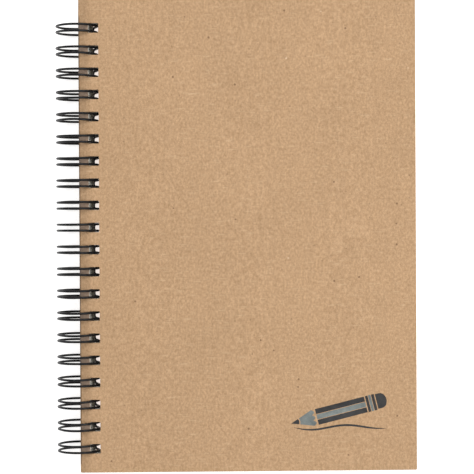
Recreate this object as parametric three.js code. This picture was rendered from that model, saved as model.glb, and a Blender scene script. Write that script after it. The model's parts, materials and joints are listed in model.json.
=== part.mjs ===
// Pocket sketchbook bound with a closed twin-loop wire, lying shut with its front cover up.
// Millimetres. +X runs from the spine to the fore-edge, +Y to the head of the page, +Z up out of the front cover.
// Everything turns on one line, the centre line of the wire rings. Shapes are drawn about that line (x = z = 0) and
// the whole book is set down at the end with its footprint centred on the origin and its lowest point at z = 0.
import * as THREE from 'three';
import { mergeVertices } from 'three/addons/utils/BufferGeometryUtils.js';

// ---- the driving sizes ----
const LOOPS = 20; // pairs of loops, and holes
const PITCH = 25.4 / 3; // three holes to the inch
const LOW = 0.95; // the punching sits this much nearer the tail than the head
// spine is from the ring centre line to the sheet's spine edge, margin from there to its holes
const COVER = { width: 129, height: 181, thick: 1.1, spine: 0.95, margin: 3.6 };
const LEAF = { width: 127, height: 178, thick: 0.4, spine: 1, margin: 3.6 };
const LEAVES = 20;
const AIR = 0.02; // between one sheet and the next
const HOLE = { wide: 4, tall: 3.6 }; // across the spine and along it
const RING = { radius: 7.8, wire: 0.5, sides: 6, step: 24 }; // wire centre line, wire section, degrees to a facet
const SEAM = { base: -56, tip: -42, corner: 0.8 }; // where the loops start and end on the ring, at the back cover
// how far apart the two wires of a loop stand, by the angle round the ring (0 at the fore-edge side, 90 on top)
const SPREAD = [[-45, 2.45], [30, 2.5], [100, 2.35], [180, 2.3], [265, 2.35], [300, 3.2]];

const STACK = 2 * COVER.thick + LEAVES * LEAF.thick + (LEAVES + 1) * AIR;
const loopY = (k) => (k - (LOOPS - 1) / 2) * PITCH - LOW;
const rad = THREE.MathUtils.degToRad;

// The block of leaves has slid askew: the lower a leaf lies, the further out it sits, as far as the rings let it.
const slide = (height) => Math.min(
  1.4 * (Math.max(0, 2 - height) / 5) ** 2,
  Math.sqrt((RING.radius - 0.7) ** 2 - (Math.abs(height) + 0.2) ** 2) - LEAF.spine - LEAF.margin - 0.1,
);

// The rings hang lower than the back cover, so the closed book rests on them and on its fore-edge.
const LEAN = Math.asin((RING.radius + 0.45 - STACK / 2) / (COVER.spine + COVER.width));

// ---- materials ----
const board = new THREE.MeshStandardMaterial({ name: 'kraft_board', color: 0xc4a078, roughness: 0.9, metalness: 0 });
const paper = new THREE.MeshStandardMaterial({ name: 'sketch_paper', color: 0xf3efe4, roughness: 0.92, metalness: 0 });
const coated = new THREE.MeshStandardMaterial({ name: 'coated_wire', color: 0x1c1c1e, roughness: 0.42, metalness: 0.2 });

// One closed surface on shared points.
const closed = (geometry) => {
  geometry.deleteAttribute('normal');
  geometry.deleteAttribute('uv');
  const joined = mergeVertices(geometry, 1e-5);
  joined.computeVertexNormals();
  return joined;
};

// ---- sheets ----
// A punched sheet with its underside at height z above the ring centre line, leaning with the closed book.
const sheet = ({ width, height, thick, spine, margin }, z) => {
  const y = height / 2;
  const outline = new THREE.Shape([
    new THREE.Vector2(spine, -y), new THREE.Vector2(spine + width, -y),
    new THREE.Vector2(spine + width, y), new THREE.Vector2(spine, y),
  ]);
  const near = spine + margin;
  const far = near + HOLE.wide;
  for (let k = 0; k < LOOPS; k += 1) {
    const low = loopY(k) - HOLE.tall / 2;
    const high = low + HOLE.tall;
    outline.holes.push(new THREE.Path([
      new THREE.Vector2(near, low), new THREE.Vector2(near, high),
      new THREE.Vector2(far, high), new THREE.Vector2(far, low),
    ]));
  }
  const geometry = new THREE.ExtrudeGeometry(outline, { depth: thick, bevelEnabled: false, curveSegments: 1 });
  return closed(geometry.translate(0, 0, z).rotateY(LEAN));
};

// ---- twin-loop wire ----
// A point on the ring: along is the distance round it from the base line, y the place along the spine.
const FULL = rad(360 - (SEAM.tip - SEAM.base)) * RING.radius; // from the base line to the tips
const angleAt = (along) => 360 + SEAM.base - THREE.MathUtils.radToDeg(along / RING.radius);
const onRing = (along, y) => {
  const a = rad(angleAt(along));
  return new THREE.Vector3(RING.radius * Math.cos(a), y, RING.radius * Math.sin(a));
};
const spread = (along) => {
  const a = angleAt(along);
  const i = Math.max(1, SPREAD.findIndex(([at]) => a <= at));
  if (a >= SPREAD.at(-1)[0]) return SPREAD.at(-1)[1];
  const [[a0, w0], [a1, w1]] = [SPREAD[i - 1], SPREAD[i]];
  return THREE.MathUtils.lerp(w0, w1, THREE.MathUtils.smoothstep(a, a0, a1));
};

// The wire's course through one loop: up one side, round the narrow tip, back down the other.
const loop = (k) => {
  const points = [];
  const bend = spread(FULL) / 2; // radius of the rounded tip
  const start = SEAM.corner;
  const reach = FULL - bend - start;
  const steps = Math.ceil(reach / (rad(RING.step) * RING.radius));
  for (let i = 0; i <= steps; i += 1) {
    const along = start + (reach * i) / steps;
    points.push([along, -spread(along) / 2]);
  }
  const tip = [30, 65, 90].map((d) => [start + reach + bend * Math.sin(rad(d)), -bend * Math.cos(rad(d))]);
  const oneSide = points.concat(tip.slice(0, 2));
  const back = oneSide.toReversed().map(([along, y]) => [along, -y]);
  return [...oneSide, tip[2], ...back].map(([along, y]) => onRing(along, loopY(k) + y));
};

const course = [];
const root = spread(SEAM.corner) / 2;
for (let k = 0; k < LOOPS; k += 1) {
  if (k > 0) {
    // along the base line from the loop before, with a rounded corner at each end
    const c = SEAM.corner;
    const from = loopY(k - 1) + root;
    const to = loopY(k) - root;
    course.push(onRing(0.29 * c, from + 0.29 * c), onRing(0, from + c), onRing(0, to - c), onRing(0.29 * c, to - 0.29 * c));
  }
  course.push(...loop(k));
}

// A path made of straight runs between given points, which the sweep follows point by point.
class Runs extends THREE.Curve {
  constructor(points) {
    super();
    this.points = points;
  }

  getPoint(t) {
    return this.points[Math.round(t * (this.points.length - 1))].clone();
  }

  getSpacedPoints() {
    return this.points.map((p) => p.clone());
  }

  getTangentAt(u, target = new THREE.Vector3()) {
    const i = Math.round(u * (this.points.length - 1));
    const here = this.points[i];
    target.set(0, 0, 0);
    if (i > 0) target.add(here.clone().sub(this.points[i - 1]).normalize());
    if (i < this.points.length - 1) target.add(this.points[i + 1].clone().sub(here).normalize());
    return target.normalize();
  }
}

const section = new THREE.Shape(
  Array.from({ length: RING.sides }, (_, i) => {
    const a = (2 * Math.PI * i) / RING.sides;
    return new THREE.Vector2(RING.wire * Math.cos(a), RING.wire * Math.sin(a));
  }),
);
const wire = closed(new THREE.ExtrudeGeometry(section, {
  steps: course.length - 1, extrudePath: new Runs(course), bevelEnabled: false, curveSegments: 1,
}));

// ---- the book ----
const book = new THREE.Group();
book.name = 'sketchbook';
const add = (name, geometry, material) => {
  const mesh = new THREE.Mesh(geometry, material);
  mesh.name = name;
  book.add(mesh);
};

let z = -STACK / 2;
add('back_cover', sheet(COVER, z), board);
z += COVER.thick + AIR;
for (let n = LEAVES; n >= 1; n -= 1) {
  const spine = LEAF.spine + slide(z + LEAF.thick / 2);
  add(`leaf_${String(n).padStart(2, '0')}`, sheet({ ...LEAF, spine }, z), paper);
  z += LEAF.thick + AIR;
}
add('front_cover', sheet(COVER, z), board);
add('twin_loop_wire', wire, coated);

// Set the book down: footprint centred on the origin, lowest point at z = 0.
const box = new THREE.Box3().setFromObject(book);
const middle = box.getCenter(new THREE.Vector3());
for (const mesh of book.children) mesh.geometry.translate(-middle.x, -middle.y, -box.min.z);

export default book;
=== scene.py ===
"""A closed kraft sketchbook on twin-loop wire, seen from straight above on a white table."""
import json
import math
import random

import bpy
import bmesh
from mathutils import Matrix, Vector


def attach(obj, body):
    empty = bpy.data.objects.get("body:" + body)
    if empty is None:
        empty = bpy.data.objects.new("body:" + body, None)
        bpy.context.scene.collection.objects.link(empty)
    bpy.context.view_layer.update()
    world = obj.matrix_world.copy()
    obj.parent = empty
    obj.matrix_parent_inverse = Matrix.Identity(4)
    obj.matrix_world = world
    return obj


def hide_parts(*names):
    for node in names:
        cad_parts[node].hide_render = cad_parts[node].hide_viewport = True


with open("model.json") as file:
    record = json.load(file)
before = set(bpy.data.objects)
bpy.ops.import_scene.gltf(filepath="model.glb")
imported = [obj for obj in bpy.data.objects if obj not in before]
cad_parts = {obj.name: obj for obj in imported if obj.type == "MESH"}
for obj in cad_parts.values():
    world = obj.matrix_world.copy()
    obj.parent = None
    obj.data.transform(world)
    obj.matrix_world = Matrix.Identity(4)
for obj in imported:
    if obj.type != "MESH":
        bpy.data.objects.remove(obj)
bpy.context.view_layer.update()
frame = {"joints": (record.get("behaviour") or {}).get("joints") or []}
MM = 0.001
AXIS = Vector(frame["joints"][0]["pos_m"])  # the centre line of the rings

# ---- sizes in mm, drawn about the centre line of the rings ----
LOOPS, PITCH = 20, 25.4 / 3  # three holes to the inch
# spine and hole are from the ring centre line to the sheet's spine edge and to its holes
COVER = dict(width=129.0, height=181.0, thick=1.1, spine=0.95, hole=4.55, corner=0.4, bevel=0.2)
LEAF = dict(width=127.0, height=178.0, thick=0.4, spine=1.0, hole=4.6, corner=0.3, bevel=0.0)
LEAVES, AIR = 20, 0.02  # AIR is the gap between one sheet and the next
PLIES, PLY_AIR = 3, 0.015  # thin sheets drawn for each leaf, and the gap between two of them
ASKEW_X, ASKEW_Y = 0.09, 0.12  # the most by which a thin sheet lies off its leaf's place
HOLE_WIDE, HOLE_TALL, HOLE_CORNER = 4.0, 3.6, 0.35  # across the spine, along it, and rounded by
LOW = 0.95  # the punching sits this much nearer the tail
RING, WIRE = 7.8, 0.445  # radius of a ring and of the wire
BELOW = 0.45  # how far under a ring's centre line it touches the table
BASE, TIP = -56.0, -42.0  # degrees round the ring at which a loop starts and where its tip is
CORNER = 0.8  # rounding between a loop and the run to the next
FREE_FROM, FREE_TO = 50.0, 150.0  # degrees between which a loop stands free of the sheets
SWAY, PINCH = 0.15, 0.08  # the most by which it's out of line there, leaning over and with its sides apart or closer
# how far apart the two sides of a loop stand, by degrees round the ring
SPREAD = [(-45, 2.45), (30, 2.5), (100, 2.35), (180, 2.3), (265, 2.35), (300, 3.2)]
STACK = 2 * COVER["thick"] + LEAVES * LEAF["thick"] + (LEAVES + 1) * AIR
# the rings hang lower than the back cover, so the closed book rests on them and on its fore-edge
LEAN = math.asin((RING + BELOW - STACK / 2) / (COVER["spine"] + COVER["width"]))
SET_DOWN = Matrix.Translation(AXIS) @ Matrix.Rotation(LEAN, 4, "Y") @ Matrix.Scale(MM, 4)
chance = random.Random(7)


def loop_y(k):
    return (k - (LOOPS - 1) / 2) * PITCH - LOW


# ---- materials ----
class Nodes:
    """A small hand for wiring a material's nodes."""

    def __init__(self, name):
        self.material = bpy.data.materials.new(name)
        self.material.use_nodes = True
        self.tree = self.material.node_tree
        self.shader = self.tree.nodes["Principled BSDF"]
        where = self.tree.nodes.new("ShaderNodeTexCoord").outputs
        self.place, self.normal = where["Object"], where["Normal"]

    def node(self, kind, values=(), **settings):
        n = self.tree.nodes.new("ShaderNode" + kind)
        for key, value in settings.items():
            setattr(n, key, value)
        for key, value in dict(values).items():
            if isinstance(value, bpy.types.NodeSocket):
                self.tree.links.new(value, n.inputs[key])
            else:
                n.inputs[key].default_value = value
        return n

    def scaled(self, size, turn=0.0):
        """The place on the piece, scaled by size along each axis and then turned about Z."""
        n = self.node("Mapping", {"Vector": self.place, "Scale": size, "Rotation": (0, 0, turn)})
        return n.outputs["Vector"]

    def axes(self):
        """The place on the piece as X, Y and Z, in metres."""
        return self.node("SeparateXYZ", {"Vector": self.place}).outputs

    def noise(self, scale, detail, rough=0.55, vector=None):
        values = {"Vector": vector or self.place, "Scale": scale, "Detail": detail, "Roughness": rough}
        return self.node("TexNoise", values).outputs["Fac"]

    def ramp(self, value, *stops):
        """Stops are (position, grey or colour)."""
        n = self.node("ValToRGB", {"Fac": value})
        ramp = n.color_ramp
        while len(ramp.elements) < len(stops):
            ramp.elements.new(0.5)
        for element, (at, colour) in zip(ramp.elements, stops):
            element.position = at
            element.color = (*((colour,) * 3 if isinstance(colour, (int, float)) else colour), 1)
        return n.outputs["Color"]

    def mix(self, a, b, amount, blend="MIX"):
        n = self.node("Mix", data_type="RGBA", blend_type=blend)
        # the node's colour sockets share their names with its other types, so they go by number
        for socket, value in ((n.inputs[0], amount), (n.inputs[6], a), (n.inputs[7], b)):
            if isinstance(value, bpy.types.NodeSocket):
                self.tree.links.new(value, socket)
            elif isinstance(value, tuple):
                socket.default_value = (*value, 1)
            else:
                socket.default_value = value
        return n.outputs[2]

    def times(self, a, b):
        return self.mix(a, b, 1.0, "MULTIPLY")

    def math(self, operation, a, b=0.0):
        n = self.node("Math", operation=operation)
        for socket, value in zip(n.inputs, (a, b)):
            if isinstance(value, bpy.types.NodeSocket):
                self.tree.links.new(value, socket)
            else:
                socket.default_value = value
        return n.outputs[0]

    def cut(self):
        """1 on the cut edges of a sheet and 0 on its two faces."""
        up = self.node("SeparateXYZ", {"Vector": self.normal}).outputs["Z"]
        return self.math("LESS_THAN", self.math("ABSOLUTE", up), 0.5)

    def finish(self, colour, rough, height=None, strength=0.0, distance=0.0, **fixed):
        """Wire up the shader, with height as bump; fixed values go on the shader's own sockets."""
        for key, value in (("Base Color", colour), ("Roughness", rough)):
            if isinstance(value, bpy.types.NodeSocket):
                self.tree.links.new(value, self.shader.inputs[key])
            else:
                self.shader.inputs[key].default_value = value
        for key, value in fixed.items():
            self.shader.inputs[key.replace("_", " ")].default_value = value
        if height is not None:
            bump = self.node("Bump", {"Height": height, "Strength": strength, "Distance": distance})
            self.tree.links.new(bump.outputs["Normal"], self.shader.inputs["Normal"])
        return self.material


def shade_by_the_wire(n, colour):
    """The board beside the wire, with painted shade: a strip darker towards the spine where the wire shades it, a dark
    line along the spine edge, and grey shade between the two sides of each loop.
    """
    place = n.axes()
    from_edge = n.math("DIVIDE", n.math("SUBTRACT", place["X"], AXIS.x + COVER["spine"] * MM), 10 * MM)  # in cm
    # painted shade: the board darker within 5 mm of the spine edge, where the wire shades it
    colour = n.times(colour, n.ramp(from_edge, (0.0, 0.83), (0.27, 0.85), (0.5, 1.0)))
    middle, half = -1.7, 85.5  # the stretch of the spine beside the wire, in mm
    wired = n.math("LESS_THAN", n.math("ABSOLUTE", n.math("SUBTRACT", place["Y"], middle * MM)), half * MM)
    # painted shade: a dark line along the spine edge, beside the wire, standing in for the shaded edges there
    edge = n.math("MULTIPLY", n.ramp(from_edge, (0.045, 1.0), (0.075, 0.0)), wired)
    colour = n.mix(colour, n.times(colour, (0.5, 0.5, 0.5)), edge)
    pitches = n.math("DIVIDE", n.math("ADD", place["Y"], (LOW + PITCH / 2) * MM), PITCH * MM)
    from_loop = n.math("PINGPONG", pitches, 0.5)  # 0 at the middle of a loop, 0.5 midway between two
    # painted shade: the board greyed and darkened between the two sides of each loop
    loop_shade = n.math("MULTIPLY", n.ramp(from_loop, (0.12, 1.0), (0.17, 0.0)), n.ramp(from_edge, (0.37, 1.0), (0.4, 0.0)))
    return n.mix(colour, (0.14, 0.135, 0.145), n.math("MULTIPLY", n.math("MULTIPLY", loop_shade, wired), 0.5))


def kraft():
    n = Nodes("kraft_board")
    cloud = n.ramp(n.noise(45, 2), (0.3, (0.497, 0.314, 0.173)), (0.7, (0.528, 0.334, 0.185)))
    pulp = n.noise(1, 3, 0.62, n.scaled((1350, 900, 1200)))
    mottle = n.ramp(pulp, (0.28, (0.785, 0.76, 0.715)), (0.72, (1.175, 1.205, 1.27)))
    run = n.ramp(n.noise(1, 2, 0.5, n.scaled((750, 130, 400))), (0.3, 0.96), (0.7, 1.04))
    grain = n.ramp(n.noise(3200, 2, 0.6), (0.25, (0.86, 0.84, 0.81)), (0.75, (1.11, 1.13, 1.16)))
    colour = n.times(n.times(n.times(cloud, mottle), run), grain)
    # fibres, long and thin, lying across the sheet; the turn sets each kind's pattern apart from the others'
    for turn, stretch, depth, tone in (
        (1.25, 160, 0.35, (0.40, 0.25, 0.13)),
        (1.8, 190, 0.3, (0.74, 0.55, 0.36)),
        (0.3, 170, 0.3, (0.42, 0.27, 0.15)),
    ):
        streak = n.noise(1, 1, 0.4, n.scaled((stretch, stretch * 16, stretch * 4), turn))
        colour = n.mix(colour, tone, n.math("MULTIPLY", n.ramp(streak, (0.66, 0.0), (0.74, 1.0)), depth))
    # flecks: bark, specks of darker pulp, and a few pale ones
    for scale, size, share, depth, tone in (
        (210.0, 0.085, 0.86, 0.72, (0.17, 0.095, 0.05)),
        (330.0, 0.11, 0.78, 0.42, (0.22, 0.13, 0.07)),
        (150.0, 0.05, 0.93, 0.55, (0.86, 0.70, 0.52)),
    ):
        cells = n.node("TexVoronoi", {"Vector": n.place, "Scale": scale, "Randomness": 1.0}, feature="F1")
        near = n.math("LESS_THAN", cells.outputs["Distance"], size)
        rare = n.math("GREATER_THAN", n.node("SeparateColor", {"Color": cells.outputs["Color"]}).outputs[0], share)
        colour = n.mix(colour, tone, n.math("MULTIPLY", n.math("MULTIPLY", near, rare), depth))
    # painted shade on the board beside the wire
    colour = shade_by_the_wire(n, colour)
    # the cut edge shows the board's pressed layers
    layers = n.noise(1, 3, 0.6, n.scaled((260, 260, 5200)))
    colour = n.mix(colour, n.ramp(layers, (0.3, (0.36, 0.235, 0.13)), (0.7, (0.60, 0.42, 0.26))), n.cut())
    rough = n.ramp(n.noise(700, 2), (0.3, 0.80), (0.7, 0.93))
    height = n.math("ADD", n.noise(2600, 3, 0.6), n.math("MULTIPLY", n.noise(500, 2), 1.4))
    return n.finish(colour, rough, height, strength=0.22, distance=0.08 * MM, Specular_IOR_Level=0.25)


def paper():
    n = Nodes("sketch_paper")
    cloud = n.ramp(n.noise(25, 2), (0.3, (0.815, 0.785, 0.71)), (0.7, (0.83, 0.80, 0.73)))
    tooth = n.ramp(n.noise(1500, 3), (0.3, 0.95), (0.7, 1.03))
    fuzz = n.ramp(n.noise(1, 2, 0.6, n.scaled((900, 900, 7000))), (0.3, (0.62, 0.58, 0.50)), (0.7, (0.84, 0.81, 0.75)))
    colour = n.mix(n.times(cloud, tooth), fuzz, n.cut())
    height = n.noise(2200, 4, 0.65)
    return n.finish(colour, 0.9, height, strength=0.35, distance=0.06 * MM, Specular_IOR_Level=0.2)


def coated():
    n = Nodes("coated_wire")
    colour = n.ramp(n.noise(900, 2), (0.3, (0.005, 0.005, 0.0055)), (0.7, (0.009, 0.009, 0.010)))
    rough = n.ramp(n.noise(1400, 2), (0.3, 0.34), (0.7, 0.46))
    height = n.noise(1800, 2)
    return n.finish(colour, rough, height, strength=0.08, distance=0.03 * MM, Specular_IOR_Level=0.22)


def ink(name, low, high):
    n = Nodes(name)
    wash = n.ramp(n.noise(240, 4, 0.6), (0.3, low), (0.72, high))
    speckle = n.ramp(n.noise(2600, 2, 0.6), (0.3, 0.86), (0.75, 1.12))
    height = n.noise(2600, 3, 0.6)
    return n.finish(n.times(wash, speckle), 0.72, height, strength=0.2, distance=0.06 * MM, Specular_IOR_Level=0.25)


KRAFT, PAPER, COATED = kraft(), paper(), coated()


# ---- punched sheets ----
def mesh_of(curve_object):
    """The filled curve as one closed mesh, set down with the book."""
    bpy.context.collection.objects.link(curve_object)
    shape = curve_object.evaluated_get(bpy.context.evaluated_depsgraph_get())
    mesh = bpy.data.meshes.new_from_object(shape)
    curve = curve_object.data
    bpy.data.objects.remove(curve_object)
    bpy.data.curves.remove(curve)
    work = bmesh.new()
    work.from_mesh(mesh)
    bmesh.ops.remove_doubles(work, verts=work.verts, dist=1e-4)
    bmesh.ops.recalc_face_normals(work, faces=work.faces)
    bmesh.ops.transform(work, matrix=SET_DOWN, verts=work.verts)
    work.to_mesh(mesh)
    work.free()
    return mesh


def filled(outlines, z, half, bevel=0.0):
    """An outline and its holes, in mm, filled to reach half above and half below height z."""
    curve = bpy.data.curves.new("outline", "CURVE")
    curve.dimensions, curve.fill_mode = "2D", "BOTH"
    curve.extrude, curve.offset = half - bevel, -bevel
    curve.bevel_depth, curve.bevel_resolution = bevel, 2
    for points in outlines:
        spline = curve.splines.new("POLY")
        spline.points.add(len(points) - 1)
        for p, (x, y) in zip(spline.points, points):
            p.co = (x, y, 0, 1)
        spline.use_cyclic_u = True
    mesh = mesh_of(bpy.data.objects.new("outline", curve))
    mesh.transform(Matrix.Translation(SET_DOWN.to_3x3() @ Vector((0, 0, z))))
    return mesh


def rectangle(x0, y0, x1, y1, r, steps=3):
    """A rectangle's outline, with corners of radius r."""
    corners = ((x1 - r, y1 - r, 0), (x0 + r, y1 - r, 90), (x0 + r, y0 + r, 180), (x1 - r, y0 + r, 270))
    turns = [(x, y, math.radians(a + 90 * i / steps)) for x, y, a in corners for i in range(steps + 1)]
    return [(x + r * math.cos(t), y + r * math.sin(t)) for x, y, t in turns]


def piece(name, data, body, material, node=None):
    """A visible piece that moves with body; node is the CAD node it takes the place of, if any."""
    o = bpy.data.objects.new(name, data)
    bpy.context.collection.objects.link(o)
    data.materials.append(material)
    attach(o, body)
    if node:
        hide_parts(node)


def punched(size, z, thick, shift=(0.0, 0.0)):
    """A punched sheet in mm, with its underside at height z above the centre line of the rings."""
    x, y = size["spine"] + shift[0], size["height"] / 2
    outlines = [rectangle(x, -y + shift[1], x + size["width"], y + shift[1], size["corner"])]
    for k in range(LOOPS):
        at, hole = loop_y(k), size["hole"] + shift[0]
        outlines.append(rectangle(hole, at - HOLE_TALL / 2, hole + HOLE_WIDE, at + HOLE_TALL / 2, HOLE_CORNER, 2))
    return filled(outlines, z + thick / 2, thick / 2, size["bevel"])


def slide(height):
    """How far a leaf at this height above the centre line of the rings has slid out along them."""
    room = math.sqrt((RING - 0.7) ** 2 - (abs(height) + 0.2) ** 2) - LEAF["hole"] - 0.1  # what the rings leave it
    return min(1.4 * (max(0.0, 2 - height) / 5) ** 2, room)  # the lower, the further


z = -STACK / 2
board = punched(COVER, z, COVER["thick"])
piece("board_back", board, "base", KRAFT, node="back_cover")
z += COVER["thick"] + AIR
for leaf in range(LEAVES, 0, -1):
    work = bmesh.new()
    for n in range(PLIES):  # each leaf is drawn as thin sheets, like those that it stands for
        out = slide(z + LEAF["thick"] / 2)
        shift = (out + chance.uniform(-ASKEW_X, ASKEW_X), chance.uniform(-ASKEW_Y, ASKEW_Y))
        low = z + LEAF["thick"] * n / PLIES
        ply = punched(LEAF, low, LEAF["thick"] / PLIES - PLY_AIR, shift)
        work.from_mesh(ply)
        bpy.data.meshes.remove(ply)
    mesh = bpy.data.meshes.new("sheets")
    work.to_mesh(mesh)
    work.free()
    node = f"leaf_{leaf:02d}"
    piece("page_" + node[-2:], mesh, node, PAPER, node=node)
    z += LEAF["thick"] + AIR
board = punched(COVER, z, COVER["thick"])
piece("board_front", board, "front_cover", KRAFT, node="front_cover")


# ---- twin-loop wire ----
def spread(angle):
    """How far apart a loop's two sides stand, in mm."""
    for (a0, w0), (a1, w1) in zip(SPREAD, SPREAD[1:]):
        if angle <= a1:
            t = max(0.0, (angle - a0) / (a1 - a0))
            return w0 + (w1 - w0) * t * t * (3 - 2 * t)
    return SPREAD[-1][1]


FULL = math.radians(360 - (TIP - BASE)) * RING  # mm round the ring from where a loop starts to its tip


def angle_at(along):
    return 360 + BASE - math.degrees(along / RING)


def on_ring(along, y):
    """A point on the rings, along mm round them and y mm along the spine."""
    a = math.radians(angle_at(along))
    return AXIS + Vector((RING * math.cos(a), y, RING * math.sin(a))) * MM


def loop(k, sway, pinch):
    """Loop k's course: up one side, round the tip and back down, out of line by sway and pinch over the spine."""
    bend = spread(TIP) / 2
    reach = FULL - bend - CORNER
    side = []
    for i in range(61):
        along = CORNER + reach * i / 60
        angle = angle_at(along)
        over = (angle - FREE_FROM) / (FREE_TO - FREE_FROM)
        free = math.sin(math.pi * over) if 0 < over < 1 else 0.0
        side.append((along, spread(angle) / 2 + pinch * free, sway * free))
    turns = [math.radians(d) for d in range(15, 91, 15)]
    tip = [(CORNER + reach + bend * math.sin(t), bend * math.cos(t)) for t in turns]
    up = [(a, -half + s) for a, half, s in side] + [(a, -half) for a, half in tip]
    down = [(a, half) for a, half in tip[-2::-1]] + [(a, half + s) for a, half, s in side[::-1]]
    return [on_ring(a, loop_y(k) + y) for a, y in up + down]


course, root = [], spread(300) / 2  # root is half the distance between a loop's sides where it starts
for k in range(LOOPS):
    if k:
        turn = [math.radians(d) for d in (15, 40, 65, 90)]
        before, after = loop_y(k - 1) + root, loop_y(k) - root
        corner = [(CORNER * (1 - math.sin(t)), CORNER * (1 - math.cos(t))) for t in turn]
        course += [on_ring(a, before + y) for a, y in corner]
        course += [on_ring(0, before + (after - before) * f) for f in (0.35, 0.65)]
        course += [on_ring(a, after - y) for a, y in corner[::-1]]
    course += loop(k, chance.uniform(-SWAY, SWAY), chance.uniform(-PINCH, PINCH))

curve = bpy.data.curves.new("wire", "CURVE")
curve.dimensions, curve.use_fill_caps = "3D", True
curve.bevel_depth, curve.bevel_resolution = WIRE * MM, 3
spline = curve.splines.new("POLY")
spline.points.add(len(course) - 1)
for p, co in zip(spline.points, course):
    p.co = (*co, 1)
spline.use_smooth = True
piece("binding_wire", curve, "base", COATED, node="twin_loop_wire")


# ---- the mark printed on the front cover: a pencil and the line it draws ----
def printed(name, shapes, material):
    """Flat ink shapes on the front cover, in mm from the pencil's point; the pencil's own lean by 14 degrees."""
    lean = math.radians(14)
    corner = Vector((COVER["spine"] + COVER["width"] - 48.4, -COVER["height"] / 2 + 18.2))  # the pencil's point
    outlines = []
    for kind, points in shapes:
        if kind == "pencil":
            c, d = math.cos(lean), math.sin(lean)
            points = [(s * c - t * d, s * d + t * c) for s, t in points]
        outlines.append([tuple(Vector(p) + corner) for p in points])
    ink_height, ink_half = STACK / 2 + 0.012, 0.01  # just proud of the board
    piece(name, filled(outlines, ink_height, ink_half), "front_cover", material)


def stroke(points, width):
    """The outline of a pencil line, thinning towards both ends."""
    left, right = [], []
    for i, p in enumerate(points):
        d = (Vector(points[min(i + 1, len(points) - 1)]) - Vector(points[max(i - 1, 0)])).normalized()
        t = i / (len(points) - 1)
        half = width / 2 * (1 - (2 * t - 1) ** 4) + 0.03
        left.append((p[0] - d.y * half, p[1] + d.x * half))
        right.append((p[0] + d.y * half, p[1] - d.x * half))
    return left + right[::-1]


def bar(s0, s1, t0, t1):
    return [(s0, t0), (s1, t0), (s1, t1), (s0, t1)]


scallop = [(8.6 + 1.0 * abs(math.sin(math.radians(a))), -3.1 + 6.2 * a / 540) for a in range(0, 541, 20)]
line = [(1.0 + 35.5 * t, -1.5 - math.sin(t * 2.6 * math.pi) * (1 - 0.4 * t)) for t in (i / 60 for i in range(61))]
dome = [math.radians(a) for a in range(-90, 91, 15)]
eraser = [(33.9, -2.9), *[(35.6 + 2.2 * math.cos(a), 2.9 * math.sin(a)) for a in dome], (33.9, 2.9)]
printed("printed_mark_dark", [
    ("pencil", [(0.0, 0.0), (3.0, -1.05), (3.3, 0.0), (3.0, 1.05)]),
    ("pencil", bar(10.2, 29.6, -3.1, -1.15)), ("pencil", bar(10.2, 29.6, 1.15, 3.1)),
    ("pencil", bar(30.0, 31.0, -3.15, 3.15)), ("pencil", bar(32.4, 33.5, -3.15, 3.15)),
    ("pencil", eraser), ("line", stroke(line, 0.7)),
], ink("print_charcoal", (0.030, 0.029, 0.029), (0.056, 0.055, 0.055)))
printed("printed_mark_grey", [
    ("pencil", [(3.35, -1.17), *scallop, (3.35, 1.17), (3.65, 0.0)]),
    ("pencil", bar(10.2, 29.6, -0.95, 0.95)), ("pencil", bar(31.2, 32.2, -3.15, 3.15)),
], ink("print_grey", (0.125, 0.145, 0.142), (0.25, 0.275, 0.262)))

# ---- table, light and camera ----
bpy.ops.mesh.primitive_plane_add(size=6)
floor = bpy.context.object
floor.name = "table"
n = Nodes("table_white")
white = n.finish((0.93, 0.93, 0.93, 1), 0.9, Specular_IOR_Level=0.1, Emission_Color=(1, 1, 1, 1))
floor.data.materials.append(white)
# the table's glow, which keeps it plain white, fades out under the book, where its shadow is
GLOW, SPINE_SIDE, FORE_EDGE = 0.66, -0.05, 0.068
place = n.axes()
spine_side = n.ramp(n.math("MULTIPLY", n.math("SUBTRACT", place["X"], SPINE_SIDE), 10), (0.0, 1.0), (0.3, 0.0))
ends = n.ramp(n.math("MULTIPLY", n.math("ABSOLUTE", place["Y"]), 10), (0.84, 0.0), (0.91, 1.0))
beside = n.math("MAXIMUM", spine_side, n.math("GREATER_THAN", place["X"], FORE_EDGE))
glow = n.math("MULTIPLY", n.math("MAXIMUM", beside, ends), GLOW)
n.tree.links.new(glow, n.shader.inputs["Emission Strength"])

world = bpy.data.worlds.new("studio")
bpy.context.scene.world = world
world.use_nodes = True
tree = world.node_tree
backdrop = tree.nodes["Background"]
backdrop.inputs["Color"].default_value = (1, 1, 1, 1)
strength = tree.nodes.new("ShaderNodeMapRange")  # soft light on the book, plain white to look at
strength.inputs["To Min"].default_value, strength.inputs["To Max"].default_value = 0.33, 1.0
tree.links.new(tree.nodes.new("ShaderNodeLightPath").outputs["Is Camera Ray"], strength.inputs["Value"])
tree.links.new(strength.outputs["Result"], backdrop.inputs["Strength"])


def softbox(name, place, long, wide, watts):
    """An area light pointed at the book, with its long side along the spine."""
    light = bpy.data.lights.new(name, "AREA")
    light.shape, light.size, light.size_y, light.energy = "RECTANGLE", long, wide, watts
    o = bpy.data.objects.new(name, light)
    bpy.context.collection.objects.link(o)
    o.location = place
    o.rotation_euler = (-Vector(place)).to_track_quat("-Z", "Y").to_euler()


softbox("key", (0.75, 0.25, 1.2), 2.4, 0.5, 21.3)
softbox("fill", (-0.5, 0.3, 1.4), 1.6, 0.8, 5)

bpy.context.scene.view_settings.view_transform = "Standard"
camera = bpy.data.cameras.new("camera")
camera.sensor_width, camera.lens = 36, 120.6
eye = bpy.data.objects.new("camera", camera)
bpy.context.collection.objects.link(eye)
eye.location = (0.0004, 0.0036, 0.62)
eye.rotation_euler = (math.radians(-0.4), 0, math.radians(-0.3))
bpy.context.scene.camera = eye
